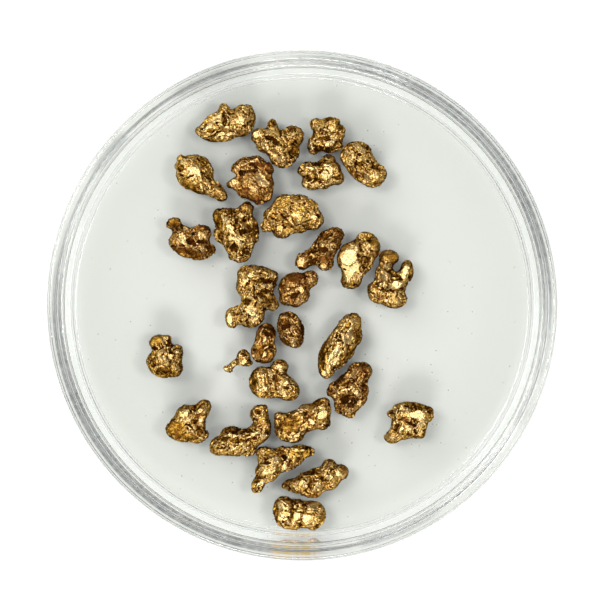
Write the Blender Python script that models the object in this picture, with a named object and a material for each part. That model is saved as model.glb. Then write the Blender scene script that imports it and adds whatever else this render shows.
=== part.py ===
"""A shallow round dish of clear glass, open at the top, with loose native gold nuggets lying in it.

The origin is the centre of the foot, where the dish stands. +Z is up, out of the dish's mouth.
Each nugget is a few egg-shaped lumps grown together, flat where it lies on the dish's floor.
"""

import math

import bmesh
import bpy
from mathutils import Matrix, Vector, noise

MM = 0.001

# The dish, in millimetres.
DISH_DIAMETER = 60.0
DISH_HEIGHT = 15.0
WALL = 2.1
FLOOR_TOP = 2.0
OUTER_DRAFT = 0.45
INNER_DRAFT = 0.05
RIM_ROUNDING = 0.45
CORNER_FILLET = 0.45
HEEL_ROUNDING = 0.6
FOOT_OUTER_RADIUS = 28.95
FOOT_INNER_RADIUS = 28.0
FOOT_HEIGHT = 0.45
FOOT_SLOPE = 0.3
DISH_SEGMENTS = 64
ARC_STEPS = 4
SHARP_EDGE_DEGREES = 40

# The nuggets, in millimetres.
RESTING_GAP = 0.06
WIDEST_AT = 0.4
EGG_SUBDIVISIONS = 3
GRAIN = 0.2
SMOOTHING_STEPS = 3
DENT_SIZE = 1.5
DENT_DEPTH = 0.4
DENT_EDGE_FADE = 0.9
NUGGET_FACES = 260

GLASS_COLOUR = (0.92, 0.96, 0.95, 1.0)
GOLD_COLOUR = (0.78, 0.53, 0.18, 1.0)

# Each lump: where it is (x, y), its length and width, the heading of its length in degrees
# counterclockwise from +X, and how high it stands above the dish's floor.
NUGGETS = {
    "nugget_01_heart": (
        (-10.6, 21.8, 4.2, 2.6, 40, 2.6),
        (-10.2, 20.8, 4.7, 2.1, 0, 2.2),
        (-8.8, 21.6, 3.2, 2.6, 0, 2.5),
        (-7.25, 22.3, 4.2, 3.1, 70, 3.0),
        (-9.3, 23.4, 2.2, 1.4, 115, 2.3),
        (-12.1, 21.1, 1.7, 1.2, 0, 1.6),
    ),
    "nugget_02_antler": (
        (-2.9, 19.3, 4.2, 3.4, -45, 3.2),
        (-1.1, 20.4, 2.7, 2.6, 0, 2.8),
        (-2.4, 17.9, 3.0, 2.6, 0, 2.4),
        (-1.2, 18.3, 2.6, 1.7, 75, 2.2),
        (-4.4, 19.4, 2.2, 1.9, 0, 2.3),
        (-5.0, 20.5, 2.4, 1.9, 0, 2.1),
        (-3.5, 21.5, 2.2, 1.2, 100, 1.9),
    ),
    "nugget_03_crest": (
        (3.0, 21.5, 3.5, 2.3, 20, 2.7),
        (2.5, 20.6, 2.4, 2.0, 0, 2.4),
        (3.35, 19.6, 3.3, 2.3, 0, 2.5),
        (1.5, 19.4, 2.4, 1.7, 80, 2.0),
        (4.5, 20.9, 1.7, 1.8, 0, 2.0),
        (1.7, 21.9, 1.5, 1.4, 0, 1.9),
    ),
    "nugget_04_club": (
        (-13.1, 16.0, 4.6, 4.3, -40, 3.1),
        (-14.2, 16.7, 2.4, 2.5, 0, 2.5),
        (-14.6, 17.6, 1.3, 1.3, 0, 1.8),
        (-12.3, 14.7, 3.2, 2.5, -20, 2.7),
        (-12.4, 17.2, 2.8, 1.8, -20, 2.6),
        (-11.6, 16.3, 2.6, 1.6, 100, 2.3),
        (-10.5, 13.9, 3.0, 1.9, -50, 2.2),
        (-9.7, 13.2, 1.4, 1.2, 0, 1.7),
    ),
    "nugget_05_capped": (
        (-5.5, 14.6, 4.2, 3.8, 0, 3.0),
        (-5.6, 16.2, 3.2, 1.8, 0, 2.4),
        (-7.0, 17.0, 3.5, 1.6, 25, 2.3),
        (-4.8, 16.9, 3.1, 1.7, -38, 2.5),
        (-7.2, 15.1, 2.2, 1.6, 0, 2.1),
        (-8.3, 14.7, 1.7, 1.2, 10, 1.6),
        (-6.8, 13.9, 2.7, 2.1, -35, 2.2),
        (-4.6, 13.3, 2.1, 1.8, 30, 2.1),
        (-5.4, 12.8, 1.3, 1.3, 0, 1.7),
    ),
    "nugget_06_wedge": (
        (2.7, 16.1, 4.1, 2.8, 15, 3.0),
        (0.7, 16.5, 2.8, 1.7, 10, 2.2),
        (1.2, 14.8, 2.5, 1.7, 0, 2.1),
        (3.2, 17.5, 1.8, 1.4, 0, 2.1),
        (4.2, 15.4, 1.8, 1.7, 0, 2.2),
        (2.6, 14.9, 2.0, 1.7, 0, 2.3),
    ),
    "nugget_07_saddle": (
        (6.6, 18.0, 4.0, 3.6, 0, 3.2),
        (8.5, 15.8, 3.4, 3.1, 0, 3.0),
        (7.5, 17.0, 3.6, 3.0, -45, 2.7),
        (6.9, 15.9, 3.4, 1.6, -37, 2.0),
    ),
    "nugget_08_thumb": (
        (-13.6, 7.1, 5.3, 2.9, -20, 2.9),
        (-14.4, 8.4, 2.5, 2.4, 0, 2.6),
        (-12.2, 8.6, 2.4, 2.4, 0, 2.5),
        (-11.5, 6.7, 2.0, 1.8, 0, 2.0),
        (-15.0, 9.2, 1.8, 1.1, -45, 1.7),
        (-15.6, 9.9, 1.8, 1.3, 30, 1.7),
    ),
    "nugget_09_hide": (
        (-8.0, 8.8, 6.2, 4.2, 115, 3.4),
        (-9.6, 10.6, 2.5, 2.4, 0, 2.9),
        (-6.9, 11.4, 2.6, 1.8, 55, 2.3),
        (-6.0, 9.1, 3.4, 1.6, 98, 2.3),
        (-7.6, 6.5, 3.0, 2.7, 0, 2.8),
        (-8.6, 7.3, 2.6, 1.8, -50, 2.3),
        (-9.8, 8.6, 1.8, 2.2, 0, 2.3),
    ),
    "nugget_10_loaf": (
        (-0.9, 11.2, 6.2, 4.4, 0, 3.3),
        (-2.4, 9.3, 2.6, 2.4, 0, 2.7),
        (-3.4, 10.8, 2.6, 2.3, 0, 2.5),
        (-4.3, 9.6, 1.5, 1.5, 0, 1.8),
        (1.2, 10.4, 2.8, 2.6, 0, 2.7),
        (-2.0, 12.6, 2.6, 1.6, 0, 2.6),
        (-0.4, 9.6, 2.6, 1.7, 10, 2.2),
    ),
    "nugget_11_shaded": (
        (3.0, 7.3, 4.3, 3.1, 50, 3.0),
        (2.8, 5.3, 2.2, 2.3, 0, 2.3),
        (1.4, 5.9, 2.1, 2.1, 0, 2.5),
        (0.2, 5.4, 2.6, 1.9, 60, 2.0),
        (4.0, 8.5, 2.2, 1.9, 0, 2.6),
    ),
    "nugget_12_folded": (
        (5.7, 5.7, 3.7, 2.9, 80, 3.5),
        (6.3, 4.0, 3.3, 2.6, 70, 3.0),
        (5.9, 2.9, 2.5, 1.9, 0, 2.2),
        (7.9, 7.1, 3.6, 3.0, 115, 2.8),
        (7.5, 5.4, 3.2, 2.4, 75, 2.7),
        (6.5, 6.9, 2.2, 1.8, 0, 2.8),
    ),
    "nugget_13_forked": (
        (10.5, 5.7, 2.4, 1.9, 0, 2.4),
        (10.1, 4.7, 1.8, 1.5, 90, 2.1),
        (10.0, 3.5, 2.7, 2.4, 90, 2.9),
        (11.5, 2.5, 2.6, 2.3, 60, 3.0),
        (12.6, 3.9, 3.1, 1.7, 80, 2.7),
        (9.2, 1.5, 2.8, 2.4, 110, 2.3),
        (11.2, 0.8, 3.2, 2.4, 5, 2.5),
        (8.5, 2.1, 1.1, 1.0, 0, 1.5),
    ),
    "nugget_14_plates": (
        (-5.7, 3.6, 4.4, 2.5, -5, 3.1),
        (-3.7, 3.5, 1.7, 1.5, -30, 2.3),
        (-5.2, 2.3, 4.2, 1.9, 5, 2.6),
        (-7.0, 2.4, 2.7, 1.9, 90, 2.4),
        (-5.3, 0.9, 4.2, 2.5, 0, 3.3),
        (-3.8, 0.1, 2.0, 1.5, -20, 2.3),
        (-6.3, -1.1, 3.5, 3.2, 0, 2.8),
        (-8.5, -1.6, 2.5, 1.6, 95, 2.1),
        (-7.6, -0.9, 2.0, 1.6, 0, 2.0),
    ),
    "nugget_15_bud": (
        (-1.0, 2.2, 3.7, 3.4, 30, 3.0),
        (0.9, 3.1, 2.3, 2.0, 50, 2.5),
        (-1.8, 0.9, 2.0, 1.9, 0, 2.3),
        (-0.4, 0.8, 2.8, 1.8, 30, 2.4),
    ),
    "nugget_16_dark": (
        (-1.4, -2.8, 4.1, 3.2, 110, 3.0),
        (-1.4, -4.1, 3.0, 1.8, -30, 2.2),
        (-1.8, -1.9, 2.5, 2.1, 0, 2.6),
        (-0.7, -4.1, 1.9, 1.8, 0, 2.1),
    ),
    "nugget_17_pair": (
        (-4.4, -3.6, 3.0, 2.5, 75, 2.6),
        (-4.65, -5.6, 3.2, 3.1, 0, 2.8),
        (-4.7, -4.6, 2.4, 2.0, 0, 2.4),
    ),
    "nugget_18_bone": (
        (-7.1, -6.4, 2.2, 1.8, 90, 2.2),
        (-6.7, -7.0, 1.5, 1.0, -5, 1.7),
        (-8.2, -7.1, 2.3, 0.8, 38, 1.0),
        (-8.95, -7.75, 1.3, 1.0, -20, 1.4),
    ),
    "nugget_19_shells": (
        (-4.8, -9.35, 3.8, 3.2, 95, 3.2),
        (-2.15, -9.95, 4.0, 2.9, -35, 2.9),
        (-3.3, -8.7, 2.6, 2.3, 0, 2.7),
        (-2.7, -7.5, 2.1, 1.8, 0, 2.2),
        (-3.8, -10.3, 2.4, 1.9, 0, 2.5),
    ),
    "nugget_20_ridge": (
        (4.4, -4.9, 6.6, 3.1, 63, 3.4),
        (5.6, -2.7, 3.9, 2.6, 55, 2.9),
        (6.4, -3.6, 2.8, 1.8, 85, 2.4),
        (3.1, -7.2, 3.4, 2.2, 80, 2.7),
        (2.8, -6.0, 3.6, 1.5, 75, 2.1),
        (5.0, -6.1, 4.4, 1.8, 52, 2.0),
    ),
    "nugget_21_knuckles": (
        (6.9, -8.2, 3.2, 2.6, 20, 2.9),
        (6.9, -10.6, 3.6, 2.3, 85, 2.5),
        (5.3, -10.3, 3.6, 2.6, 30, 3.2),
        (4.2, -10.2, 2.6, 2.0, 30, 2.4),
        (5.1, -9.1, 1.8, 1.3, 40, 1.9),
        (5.6, -12.0, 3.4, 2.6, 20, 2.6),
        (5.7, -13.0, 1.6, 1.3, 0, 1.8),
        (4.6, -12.2, 1.8, 1.4, 60, 2.0),
    ),
    "nugget_22_acorn": (
        (-16.7, -7.0, 4.1, 3.6, -20, 3.2),
        (-17.6, -6.8, 2.5, 2.4, 0, 2.6),
        (-15.7, -7.5, 2.6, 2.6, 0, 2.6),
        (-15.3, -5.9, 2.3, 1.7, 70, 2.6),
        (-16.6, -5.3, 2.2, 1.6, 0, 2.3),
        (-17.3, -4.5, 2.4, 1.8, 5, 2.3),
        (-16.4, -4.1, 1.1, 1.0, 0, 1.7),
    ),
    "nugget_23_paw": (
        (-14.9, -14.9, 3.2, 2.9, 20, 2.7),
        (-14.2, -13.3, 2.6, 2.1, 60, 3.0),
        (-12.3, -12.9, 3.3, 2.0, 55, 2.7),
        (-13.2, -14.4, 3.2, 2.6, -30, 2.4),
        (-12.2, -15.6, 1.7, 1.8, 0, 2.2),
        (-14.2, -15.8, 3.6, 1.6, -5, 1.9),
        (-12.9, -16.1, 1.8, 1.2, -20, 1.7),
    ),
    "nugget_24_boot": (
        (-8.2, -16.9, 5.9, 2.8, 0, 3.0),
        (-8.7, -15.7, 2.8, 2.0, 20, 2.7),
        (-6.6, -16.2, 3.0, 2.4, 0, 2.7),
        (-5.3, -15.5, 3.3, 2.5, 30, 2.9),
        (-4.85, -14.2, 3.6, 2.0, 100, 2.7),
        (-5.3, -13.1, 2.1, 1.8, 40, 2.4),
        (-4.7, -12.9, 1.2, 1.7, 0, 2.2),
        (-6.9, -17.4, 2.6, 1.8, -10, 2.3),
        (-10.2, -17.3, 2.0, 1.9, 0, 1.9),
    ),
    "nugget_25_slab": (
        (0.3, -13.9, 6.4, 3.1, 17, 3.1),
        (2.2, -12.9, 2.7, 2.9, 0, 2.9),
        (2.5, -11.9, 1.8, 1.4, 10, 2.3),
        (-1.9, -14.7, 3.5, 3.1, 90, 2.7),
        (-2.7, -13.6, 1.4, 1.3, 0, 2.2),
        (-1.0, -15.6, 2.8, 2.2, 10, 2.3),
        (2.6, -14.4, 1.8, 1.4, 30, 1.9),
        (0.6, -13.0, 3.2, 2.0, 20, 2.7),
    ),
    "nugget_26_flag": (
        (13.3, -13.1, 5.2, 2.7, -5, 2.9),
        (15.0, -13.2, 2.1, 2.1, 60, 2.3),
        (13.9, -14.5, 3.3, 2.5, 75, 3.0),
        (11.8, -14.3, 3.6, 2.0, 75, 2.3),
        (11.2, -15.8, 2.6, 1.8, 10, 2.1),
        (12.8, -15.3, 2.8, 1.8, 0, 2.3),
        (10.8, -13.2, 1.0, 0.9, 0, 1.3),
        (14.2, -15.4, 1.6, 1.5, 0, 1.9),
    ),
    "nugget_27_axe": (
        (-3.8, -18.9, 3.2, 3.0, 0, 3.3),
        (-4.6, -17.9, 1.9, 1.6, 0, 2.4),
        (-4.0, -20.2, 3.2, 2.3, 35, 2.9),
        (-4.9, -20.2, 1.6, 1.8, 0, 2.2),
        (-5.3, -21.7, 2.3, 1.6, 60, 2.3),
        (-2.3, -18.0, 2.0, 1.8, 0, 2.1),
        (-0.4, -17.8, 3.8, 1.7, 3, 2.7),
        (-1.3, -18.8, 3.9, 2.2, 30, 2.3),
    ),
    "nugget_28_dragon": (
        (0.9, -21.7, 3.6, 3.2, -20, 3.0),
        (1.6, -20.4, 1.9, 1.3, 20, 2.2),
        (3.2, -20.4, 2.7, 2.6, 0, 3.0),
        (3.3, -19.5, 1.7, 1.7, 0, 2.4),
        (4.6, -20.3, 2.0, 2.0, 0, 2.3),
        (3.3, -21.5, 2.5, 1.9, 20, 2.3),
        (-0.8, -21.9, 2.8, 1.7, -10, 2.3),
        (-1.8, -21.9, 1.3, 0.9, 0, 1.6),
        (1.4, -22.5, 2.2, 1.7, 10, 2.2),
    ),
    "nugget_29_lobed": (
        (-2.0, -25.1, 4.0, 3.0, 100, 2.7),
        (-0.9, -25.9, 2.8, 2.7, 0, 2.5),
        (0.9, -25.5, 4.0, 3.2, 0, 3.0),
        (1.4, -24.7, 2.8, 1.9, -20, 2.7),
        (1.3, -26.6, 1.7, 1.4, 0, 1.7),
        (-0.3, -24.4, 2.6, 1.6, -15, 2.3),
    ),
}


def clear_scene():
    for obj in list(bpy.data.objects):
        bpy.data.objects.remove(obj)


def principled(name, colour, roughness, metallic=0.0, transmission=0.0):
    material = bpy.data.materials.new(name)
    material.use_nodes = True
    shader = material.node_tree.nodes["Principled BSDF"]
    shader.inputs["Base Color"].default_value = colour
    shader.inputs["Roughness"].default_value = roughness
    shader.inputs["Metallic"].default_value = metallic
    shader.inputs["Transmission Weight"].default_value = transmission
    return material


def add_object(name, mesh, material):
    obj = bpy.data.objects.new(name, mesh)
    bpy.context.scene.collection.objects.link(obj)
    mesh.materials.clear()
    mesh.materials.append(material)
    return obj


def arc(centre_r, centre_z, radius, start, end):
    """Points (r, z) on a quarter round between two angles in degrees, both ends included."""
    angles = [math.radians(start + (end - start) * i / ARC_STEPS) for i in range(ARC_STEPS + 1)]
    return [(centre_r + radius * math.cos(a), centre_z + radius * math.sin(a)) for a in angles]


def dish_profile():
    """Half of the dish's section as (r, z), from the axis under the floor, round the wall, back to the axis."""
    outer = DISH_DIAMETER / 2
    inner = outer - WALL
    heel = outer - OUTER_DRAFT
    corner = inner - INNER_DRAFT
    return [
        (FOOT_INNER_RADIUS - FOOT_SLOPE, FOOT_HEIGHT),
        (FOOT_INNER_RADIUS, 0.0),
        (FOOT_OUTER_RADIUS, 0.0),
        *arc(heel - HEEL_ROUNDING, HEEL_ROUNDING, HEEL_ROUNDING, -70, 0),
        *arc(outer - RIM_ROUNDING, DISH_HEIGHT - RIM_ROUNDING, RIM_ROUNDING, 0, 90),
        *arc(inner + RIM_ROUNDING, DISH_HEIGHT - RIM_ROUNDING, RIM_ROUNDING, 90, 180),
        *arc(corner - CORNER_FILLET, FLOOR_TOP + CORNER_FILLET, CORNER_FILLET, 0, -90),
    ]


def turned(name, profile, bottom, top):
    """A mesh turned round Z from an outer profile, closed on the axis at two heights."""
    bm = bmesh.new()
    rings = []
    for radius, z in profile:
        turns = [2 * math.pi * i / DISH_SEGMENTS for i in range(DISH_SEGMENTS)]
        ring = [(radius * math.cos(t) * MM, radius * math.sin(t) * MM, z * MM) for t in turns]
        rings.append([bm.verts.new(point) for point in ring])
    low = bm.verts.new((0, 0, bottom * MM))
    high = bm.verts.new((0, 0, top * MM))
    for i in range(DISH_SEGMENTS):
        j = (i + 1) % DISH_SEGMENTS
        bm.faces.new((low, rings[0][j], rings[0][i]))
        for lower, upper in zip(rings, rings[1:]):
            bm.faces.new((lower[i], lower[j], upper[j], upper[i]))
        bm.faces.new((rings[-1][i], rings[-1][j], high))
    mesh = bpy.data.meshes.new(name)
    bm.to_mesh(mesh)
    bm.free()
    return mesh


def make_dish(glass):
    mesh = turned("dish", dish_profile(), FOOT_HEIGHT, FLOOR_TOP)
    dish = add_object("dish", mesh, glass)
    dish.data.shade_smooth()
    dish.data.set_sharp_from_angle(angle=math.radians(SHARP_EDGE_DEGREES))


def lumps_mesh(name, lumps):
    """The nugget's lumps as overlapping eggs, widest below the middle and cut off by the floor later."""
    bm = bmesh.new()
    for x, y, length, width, heading, height in lumps:
        middle = Vector((x, y, FLOOR_TOP + WIDEST_AT * height)) * MM
        half = Vector((length / 2, width / 2, (1 - WIDEST_AT) * height)) * MM
        turn = Matrix.Rotation(math.radians(heading), 4, "Z")
        placed = Matrix.Translation(middle) @ turn @ Matrix.Diagonal((*half, 1.0))
        bmesh.ops.create_icosphere(bm, subdivisions=EGG_SUBDIVISIONS, radius=1.0, matrix=placed)
    mesh = bpy.data.meshes.new(name)
    bm.to_mesh(mesh)
    bm.free()
    return mesh


def evaluated_copy(obj):
    """The object's mesh with its modifiers applied."""
    graph = bpy.context.evaluated_depsgraph_get()
    return bpy.data.meshes.new_from_object(obj.evaluated_get(graph))


def grow_together(obj):
    """Fuses the lumps into one skin and softens the creases between them."""
    remesh = obj.modifiers.new("fuse", "REMESH")
    remesh.mode = "VOXEL"
    remesh.voxel_size = GRAIN * MM
    smooth = obj.modifiers.new("soften", "SMOOTH")
    smooth.iterations = SMOOTHING_STEPS
    mesh = evaluated_copy(obj)
    obj.modifiers.clear()
    obj.data = mesh


def dent_and_settle(mesh):
    """Dents the skin as a stream wears it, inwards only, and flattens it where it lies on the floor."""
    resting = (FLOOR_TOP + RESTING_GAP) * MM
    normals = [vertex.normal.copy() for vertex in mesh.vertices]
    for vertex, normal in zip(mesh.vertices, normals):
        hollow = max(0.0, noise.noise(vertex.co / (DENT_SIZE * MM)))
        side_on = 1 - DENT_EDGE_FADE * (1 - abs(normal.z))
        vertex.co -= normal * hollow * side_on * DENT_DEPTH * MM
        vertex.co.z = max(vertex.co.z, resting)


def make_nugget(name, lumps, gold):
    nugget = add_object(name, lumps_mesh(name, lumps), gold)
    grow_together(nugget)
    dent_and_settle(nugget.data)
    thin = nugget.modifiers.new("thin", "DECIMATE")
    thin.ratio = NUGGET_FACES / (2 * len(nugget.data.polygons))
    nugget.data.shade_smooth()


def main():
    clear_scene()
    make_dish(principled("clear glass", GLASS_COLOUR, roughness=0.02, transmission=1.0))
    for name, lumps in NUGGETS.items():
        make_nugget(name, lumps, principled(name, GOLD_COLOUR, roughness=0.35, metallic=1.0))


main()
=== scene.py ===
"""The looks of an open dish of clear glass with loose native gold nuggets in it.

Every nugget is sculpted from its CAD solid: a fine closed skin, lumps and folds, packed grains, then
the marks that only it has. Sculpting is done in millimetres and the finished mesh is in metres.
"""

import math

import bmesh
import bpy
import numpy as np
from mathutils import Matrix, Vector, noise


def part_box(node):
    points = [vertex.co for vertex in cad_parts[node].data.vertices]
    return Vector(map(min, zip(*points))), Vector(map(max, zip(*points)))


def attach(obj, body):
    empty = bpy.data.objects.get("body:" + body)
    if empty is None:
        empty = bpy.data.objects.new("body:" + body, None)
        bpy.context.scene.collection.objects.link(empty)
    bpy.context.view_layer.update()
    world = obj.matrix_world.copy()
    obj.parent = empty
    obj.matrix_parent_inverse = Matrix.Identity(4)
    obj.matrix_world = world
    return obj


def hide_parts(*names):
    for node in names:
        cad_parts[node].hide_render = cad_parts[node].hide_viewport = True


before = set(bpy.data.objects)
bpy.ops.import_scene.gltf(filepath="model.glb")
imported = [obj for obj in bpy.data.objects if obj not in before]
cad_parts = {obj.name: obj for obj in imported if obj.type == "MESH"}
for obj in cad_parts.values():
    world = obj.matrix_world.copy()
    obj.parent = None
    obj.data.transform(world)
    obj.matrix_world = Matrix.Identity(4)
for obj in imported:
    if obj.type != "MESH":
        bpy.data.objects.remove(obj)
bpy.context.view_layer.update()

MM = 0.001
HALF = Vector((0.5, 0.5, 0.5))

# The dish, in millimetres. Its section is the CAD solid's.
WALL = 2.1
FLOOR_TOP = 2.0
OUTER_DRAFT = 0.45
INNER_DRAFT = 0.05
RIM_ROUNDING = 0.45
CORNER_FILLET = 0.45
HEEL_ROUNDING = 0.6
FOOT_OUTER_RADIUS = 28.95
FOOT_INNER_RADIUS = 28.0
FOOT_HEIGHT = 0.45
FOOT_SLOPE = 0.3
DISH_SEGMENTS = 512
ARC_STEPS = 10
BRACE = 0.03
# The heading towards which the painted shade at the heel is strongest, then the heading of the painted
# gold reflection.
SHADED_HEADING = 40.0
REFLECTION_HEADING = 268.5
RIPPLE_DEPTH = 0.02
RIPPLES = 10.0

# The nuggets' skin, in millimetres, but for slopes.
SKIN_GRAIN = 0.07
LUMP_SIZE = 1.5
LUMP_HEIGHT = 0.06
FOLD_SIZE = 0.9
FOLD_DEPTH = 0.08
FILL_ROUNDS = 4
FILL_REACH = 70
FILL_LIMIT = 0.1
PLATE_SIZE = 1.3
PLATE_SLOPE = 0.33
CHIP_SIZE = 0.6
CHIP_SLOPE = 0.2
CREASE_SIZE = 0.62
CREASE_WIDTH = 0.12
CREASE_DEPTH = 0.1
CREASE_STRETCH = 0.55
TINY_SIZE = 0.28
TINY_DEPTH = 0.1
FULLNESS = 0.04
EDGE_ROOM = 0.03
CROWDED_ROOM = -0.03
FACET_PRESS = 0.85
FACET_LIMIT = 0.25
RIB_HEIGHT = 0.06
RIB_SPACING = 0.5

# How much each thing adds to the dark soil and painted shade: soil and painted shade in sharp creases
# and wide hollows, painted shade on the lowest 1.2 mm and on steep sides, the nugget's own soil and its
# clouds, and the tone of plates and chips.
CREASE_SOIL_AND_SHADE = 11
HOLLOW_SOIL_AND_SHADE = 4.5
LOW_SHADE = 0.3
STEEP_SHADE = 0.75
OWN_SOIL = 0.4
CLOUDY_SOIL = 0.3
PLATE_SOIL = 0.24
CHIP_SOIL = 0.2

# Colours: linear red, green, blue and alpha. A gold has its clean colour, its pale colour for burnish and
# painted highlights, and its brown colour for soil and painted shade.
NATIVE_GOLD = ((0.60, 0.33, 0.045, 1.0), (0.77, 0.58, 0.28, 1.0), (0.16, 0.062, 0.004, 1.0))
STAINED_GOLD = ((0.5, 0.24, 0.03, 1.0), (0.72, 0.51, 0.23, 1.0), (0.12, 0.042, 0.005, 1.0))
# The black of deep soil and of painted shade.
BLACK_EARTH_AND_SHADE = (0.045, 0.014, 0.002, 1.0)
RUST_RED = (0.24, 0.078, 0.012, 1.0)
WARM_GLOSS = (1.0, 0.82, 0.5, 1.0)
CLEAR_GLASS = (0.965, 0.985, 0.975, 1.0)
# A grey for the painted shade at the glass's heel.
HEEL_SHADE_GREY = (0.07, 0.075, 0.085, 1.0)
# A gold for a painted reflection low in the glass wall.
REFLECTED_GOLD = (0.6, 0.3, 0.05, 1.0)
DUST_GREY = (0.42, 0.40, 0.36, 1.0)
FLOOR_SHADE = (0.84, 0.842, 0.81, 1.0)
WALL_SHADE = (0.93, 0.94, 0.93, 1.0)
TABLE_WHITE = (0.86, 0.86, 0.86, 1.0)
ROOM_DARK = (0.0, 0.0, 0.0, 1.0)
ROOM_LIGHT = (0.55, 0.55, 0.57, 1.0)
CEILING = (0.62, 0.63, 0.65, 1.0)
BACKDROP = (0.9, 0.9, 0.9, 1.0)

# Lamps: name, place and size in metres, watts. All face the dish's middle.
LAMPS = (
    ("front window", (-0.06, -0.46, 0.46), (0.30, 0.18), 1.8),
    ("back panel", (-0.35, 0.40, 0.50), (0.45, 0.40), 1.2),
    ("overhead", (-0.24, 0.10, 0.70), (0.20, 0.24), 2.0),
    ("right lamp", (0.28, -0.02, 0.66), (0.14, 0.14), 1.2),
)
TABLE_HALF = 3.0
CAMERA_PLACE = (-0.25 * MM, 0.61 * MM, 382 * MM)
CAMERA_LENS = 187.7

# What each nugget is like: how deep its packed grains are and how wide, how polished it is, how much
# dark soil sits in it and how rust-red it is.
CHARACTER = {
    "nugget_01_heart": (0.05, 0.42, 0.5, 0.3, 0.0),
    "nugget_02_antler": (0.06, 0.40, 0.3, 0.35, 0.0),
    "nugget_03_crest": (0.05, 0.40, 0.3, 0.4, 0.0),
    "nugget_04_club": (0.03, 0.45, 0.5, 0.3, 0.0),
    "nugget_05_capped": (0.03, 0.42, 0.4, 0.4, 0.35),
    "nugget_06_wedge": (0.03, 0.50, 0.5, 0.2, 0.0),
    "nugget_07_saddle": (0.05, 0.40, 0.4, 0.35, 0.0),
    "nugget_08_thumb": (0.05, 0.36, 0.3, 0.6, 0.15),
    "nugget_09_hide": (0.05, 0.45, 0.4, 0.45, 0.0),
    "nugget_10_loaf": (0.07, 0.30, 0.3, 0.2, 0.0),
    "nugget_11_shaded": (0.05, 0.36, 0.2, 0.7, 0.1),
    "nugget_12_folded": (0.02, 0.42, 0.5, 0.3, 0.0),
    "nugget_13_forked": (0.03, 0.42, 0.6, 0.3, 0.0),
    "nugget_14_plates": (0.03, 0.42, 0.6, 0.3, 0.0),
    "nugget_15_bud": (0.05, 0.34, 0.2, 0.5, 0.45),
    "nugget_16_dark": (0.04, 0.36, 0.3, 0.7, 0.15),
    "nugget_17_pair": (0.02, 0.42, 0.4, 0.5, 0.2),
    "nugget_18_bone": (0.04, 0.34, 0.3, 0.3, 0.0),
    "nugget_19_shells": (0.03, 0.42, 0.4, 0.3, 0.0),
    "nugget_20_ridge": (0.01, 0.45, 0.8, 0.25, 0.0),
    "nugget_21_knuckles": (0.04, 0.42, 0.4, 0.5, 0.15),
    "nugget_22_acorn": (0.02, 0.38, 0.4, 0.4, 0.0),
    "nugget_23_paw": (0.03, 0.42, 0.4, 0.4, 0.1),
    "nugget_24_boot": (0.05, 0.42, 0.5, 0.35, 0.0),
    "nugget_25_slab": (0.02, 0.40, 0.5, 0.35, 0.1),
    "nugget_26_flag": (0.03, 0.42, 0.5, 0.35, 0.0),
    "nugget_27_axe": (0.05, 0.40, 0.5, 0.35, 0.0),
    "nugget_28_dragon": (0.03, 0.42, 0.5, 0.45, 0.1),
    "nugget_29_lobed": (0.02, 0.45, 0.8, 0.25, 0.0),
}
STAINED = (
    "nugget_05_capped",
    "nugget_08_thumb",
    "nugget_11_shaded",
    "nugget_15_bud",
    "nugget_16_dark",
    "nugget_17_pair",
    "nugget_21_knuckles",
)
# The two that lie closest together, and so get less room for relief at their edges.
CROWDED = ("nugget_17_pair", "nugget_18_bone")

# What each kind of mark does: how far it raises the skin in millimetres, how much of the fine relief it
# keeps, and what it adds to the soil and painted shade, to the burnish and painted highlight, and to the
# rust.
KINDS = {
    # worn and ridge paint highlights pale, satin paints a flank's shade brown, dark paints soil and
    # shadow, and pit and groove add soil and painted shade to their hollows.
    "worn": (0.0, 0.4, -0.5, 0.75, 0.0),
    "satin": (0.0, 0.15, 0.34, -0.6, 0.0),
    "dark": (-0.08, 1.0, 0.4, -0.5, 0.0),
    "pit": (-0.22, 0.9, 0.45, -1.0, 0.0),
    "ridge": (0.18, 0.5, -0.5, 0.8, 0.0),
    "groove": (-0.13, 0.8, 0.35, -0.6, 0.0),
    "ribs": (0.0, 0.4, 0.0, 0.1, 0.0),
    "sandy": (0.0, 0.7, -0.2, -0.1, 0.0),
    "rust": (0.0, 0.9, 0.12, -0.2, 0.6),
}
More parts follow.
